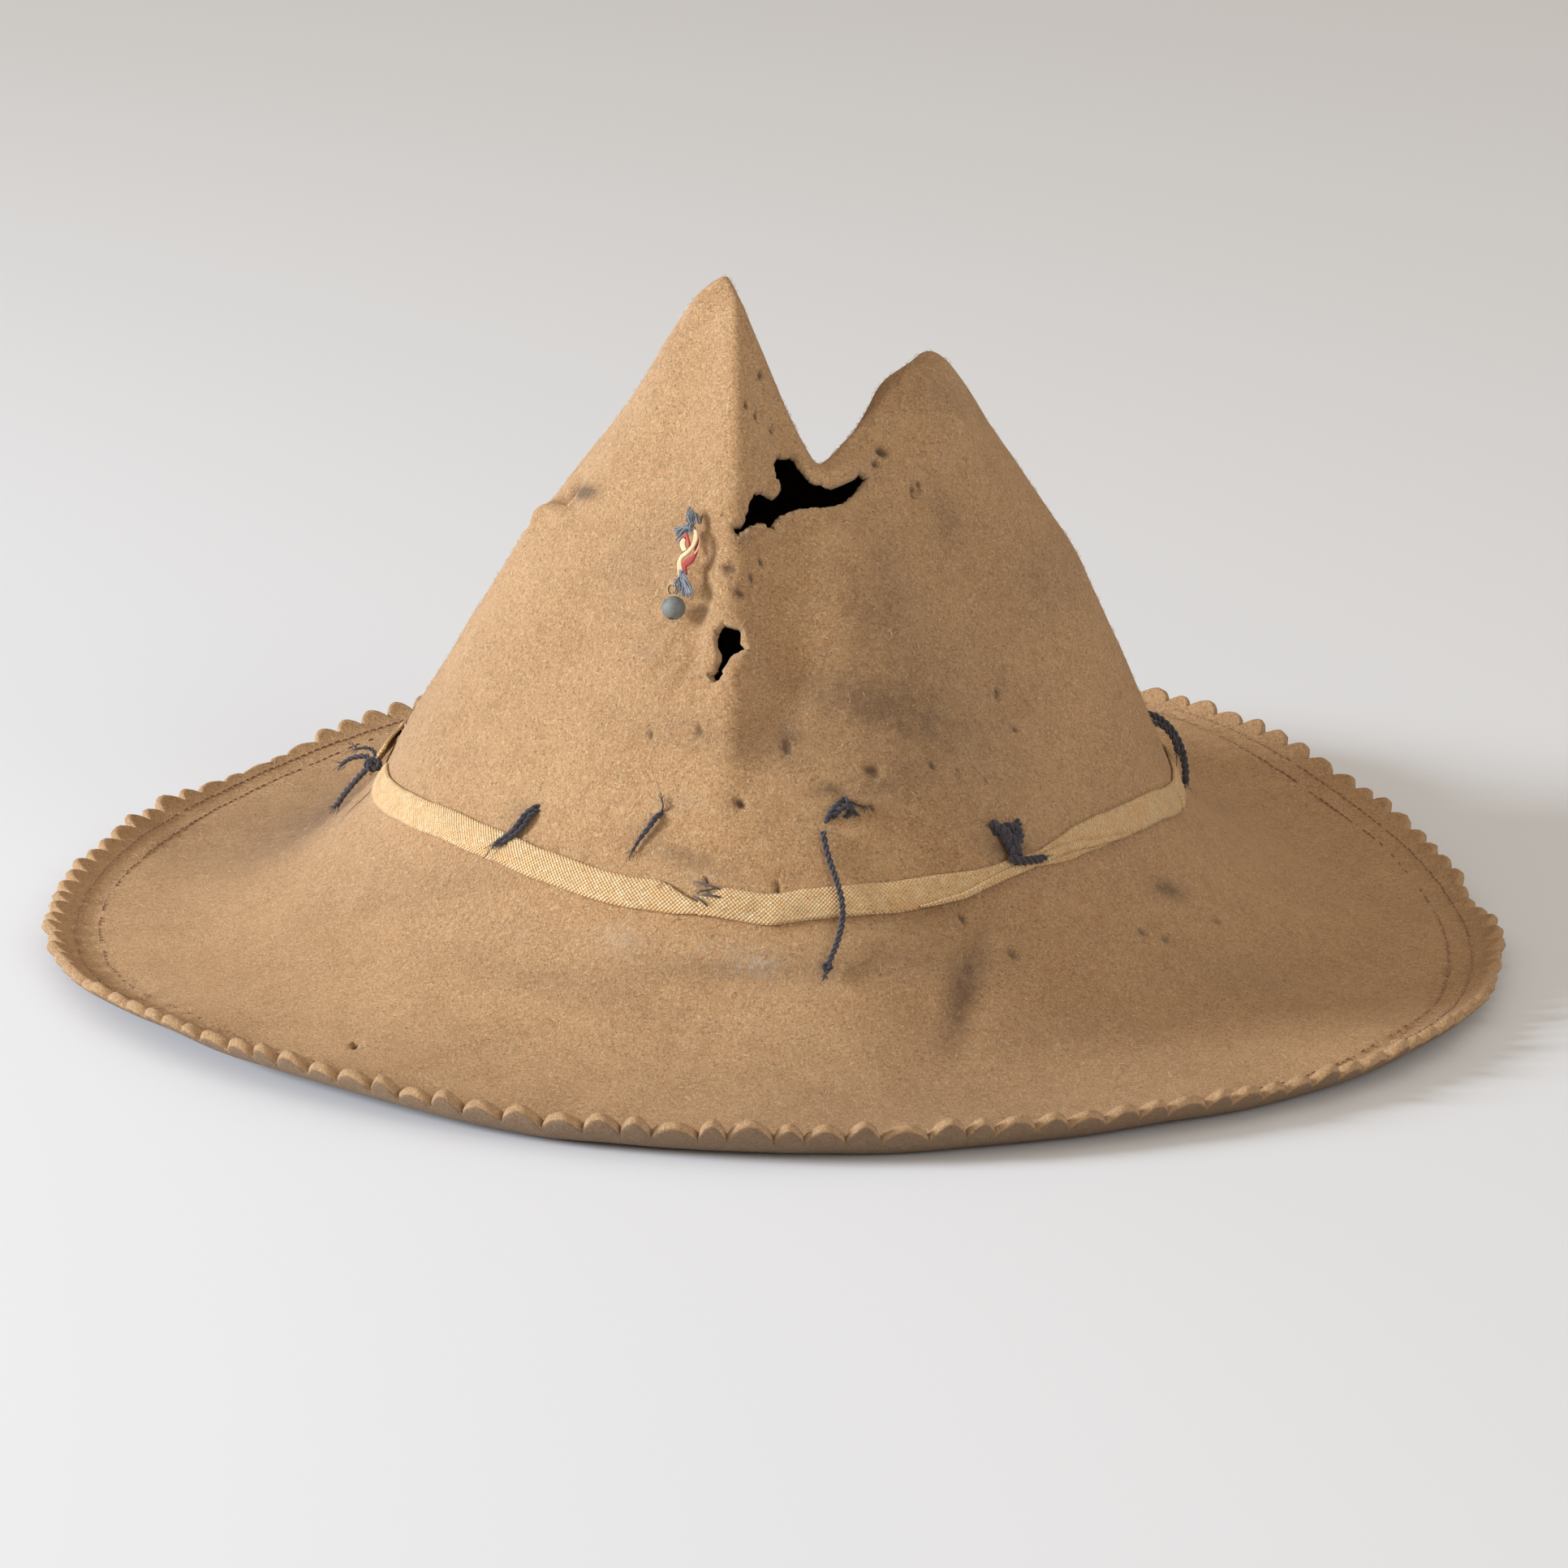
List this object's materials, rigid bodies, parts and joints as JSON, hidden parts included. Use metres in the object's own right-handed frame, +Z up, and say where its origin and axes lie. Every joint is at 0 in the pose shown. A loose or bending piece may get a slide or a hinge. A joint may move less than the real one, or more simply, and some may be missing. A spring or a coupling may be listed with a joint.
{
  "type": "felt hat",
  "caption": "Old soft felt hat with a creased two-peaked crown, scalloped rolled brim, cotton tape band, yarn ties and a small hanging bead charm.",
  "frame": {"origin": "centre of the brim's outline, on the surface that the hat stands on", "axes": "+X to the viewer's right when the hat is seen from its front, +Y from the front of the hat to its back, +Z up through the crown"},
  "size_m": [0.316, 0.342, 0.1471],
  "materials": {
    "felt_brown": "worn matte wool felt",
    "sweat_leather": "old waxed leather",
    "reed_cane": "plain split cane",
    "sewing_thread": "faded cotton thread",
    "dark_thread": "dark cotton thread",
    "cotton_tape": "unbleached plain-weave cotton",
    "navy_yarn": "two-ply wool yarn, near black navy",
    "ribbon_blue": "frayed faded blue ribbon",
    "ribbon_red": "faded red ribbon",
    "ribbon_white": "faded white ribbon",
    "charm_wire": "dull wire",
    "bead_slate": "matte slate-grey bead"
  },
  "bodies": {
    "felt_body": {"crown": "felt_brown", "brim": "felt_brown", "sweatband": "sweat_leather", "sweatband_reed": "reed_cane", "sweatband_stitches": "sewing_thread", "sweatband_back_seam": "sweat_leather", "band_tape_left": "cotton_tape", "band_tape_right": "cotton_tape", "band_tape_back": "cotton_tape", "band_tack_stitches": "dark_thread", "yarn_tie_left": "navy_yarn", "yarn_stub_front_left_outer": "navy_yarn", "yarn_stub_front_left_inner": "navy_yarn", "yarn_knot_front": "navy_yarn", "yarn_tail_front": "navy_yarn", "yarn_tail_knot": "navy_yarn", "yarn_tuft_front_right": "navy_yarn", "yarn_loop_right": "navy_yarn", "yarn_tie_back_left": "navy_yarn", "yarn_tie_back_right": "navy_yarn", "charm_stitch_loop": "ribbon_blue", "edge_stitching_outer": "sewing_thread", "edge_stitching_inner": "sewing_thread"},
    "charm_knot": {"charm_upper_tuft": "ribbon_blue"},
    "charm_ribbon": {"charm_strand_blue": "ribbon_blue", "charm_strand_red": "ribbon_red", "charm_strand_white": "ribbon_white", "charm_lower_tuft": "ribbon_blue"},
    "charm_drop": {"charm_wire_eye": "charm_wire", "charm_bead": "bead_slate"}
  },
  "joints": [
    {"name": "charm_lift", "type": "hinge", "parent": "felt_body", "child": "charm_knot", "pos_m": [-0.01925, -0.05069, 0.09926], "axis": [-0.801, 0.5527, -0.23], "range_deg": [0, 95]},
    {"name": "charm_swing", "type": "hinge", "parent": "charm_knot", "child": "charm_ribbon", "pos_m": [-0.01925, -0.05069, 0.09926], "axis": [-0.5861, -0.6459, 0.4893], "range_deg": [-35, 20]},
    {"name": "bead_swing", "type": "hinge", "parent": "charm_ribbon", "child": "charm_drop", "pos_m": [-0.02197, -0.05602, 0.08896], "axis": [-0.801, 0.5527, -0.23], "range_deg": [0, 60]}
  ]
}
